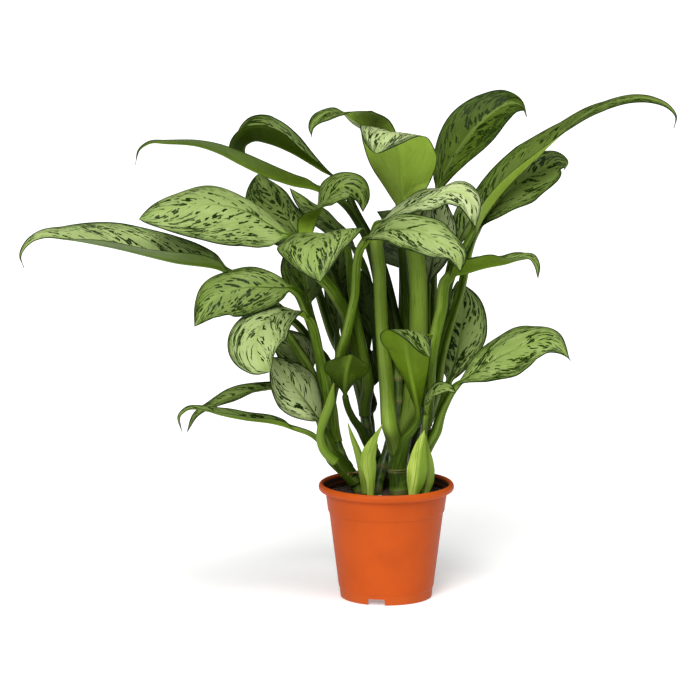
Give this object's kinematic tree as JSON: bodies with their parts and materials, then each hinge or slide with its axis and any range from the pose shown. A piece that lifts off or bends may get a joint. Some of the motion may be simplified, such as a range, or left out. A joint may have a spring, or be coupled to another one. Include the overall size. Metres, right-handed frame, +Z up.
{
  "type": "potted foliage plant",
  "caption": "Chinese evergreen with silver and dark green mottled leaves arching out from green canes, in a terracotta-orange nursery pot.",
  "frame": {"origin": "on the surface the pot stands on, under the middle of the whole plant's bounding box; the pot's axis is at x = 33 mm, y = -35 mm", "axes": "+Z up along the pot's axis; -Y is the side the plant is shown from; +X to the right seen from there"},
  "size_m": [0.5663, 0.322, 0.4449],
  "materials": {
    "pot_plastic": "satin moulded terracotta-orange polypropylene",
    "peat": "rough dark peat mix",
    "cane": "satin green ringed stem",
    "leaf": "satin leaf, silver with dark green flecks above, plain green below",
    "young_growth": "satin pale yellow-green shoots and sheaths"
  },
  "bodies": {
    "root": {"cane_back_left": "cane", "cane_back_right": "cane", "cane_bent": "cane", "cane_left": "cane", "cane_middle": "cane", "cane_right": "cane", "leaf_behind_left": "leaf", "leaf_behind_middle": "leaf", "leaf_behind_strip": "leaf", "leaf_front_arch": "leaf", "leaf_front_droop": "leaf", "leaf_front_left_arch": "leaf", "leaf_inner_back": "leaf", "leaf_inner_dark": "leaf", "leaf_inner_flecked": "leaf", "leaf_inner_narrow": "leaf", "leaf_left_back": "leaf", "leaf_left_dark": "leaf", "leaf_left_folded": "leaf", "leaf_left_long": "leaf", "leaf_left_low": "leaf", "leaf_left_middle": "leaf", "leaf_left_shaded": "leaf", "leaf_lower_right_broad": "leaf", "leaf_lowest_left_back": "leaf", "leaf_lowest_left_front": "leaf", "leaf_rear_left": "leaf", "leaf_rear_middle": "leaf", "leaf_rear_right": "leaf", "leaf_right_curled": "leaf", "leaf_right_long": "leaf", "leaf_right_narrow": "leaf", "leaf_right_raised": "leaf", "leaf_right_small": "leaf", "leaf_right_upright": "leaf", "leaf_shaded_small": "leaf", "leaf_top_back": "leaf", "leaf_top_left": "leaf", "leaf_top_middle": "leaf", "leaf_top_right": "leaf", "leaf_upper_left_broad": "leaf", "leaf_upper_left_long": "leaf", "leaf_upper_left_small": "leaf", "leaf_upper_right_arch": "leaf", "pot": "pot_plastic", "sheath_front": "young_growth", "sheath_side": "young_growth", "shoot_left": "young_growth", "shoot_spear_left": "young_growth", "shoot_spear_right": "young_growth", "soil": "peat"}
  },
  "joints": []
}
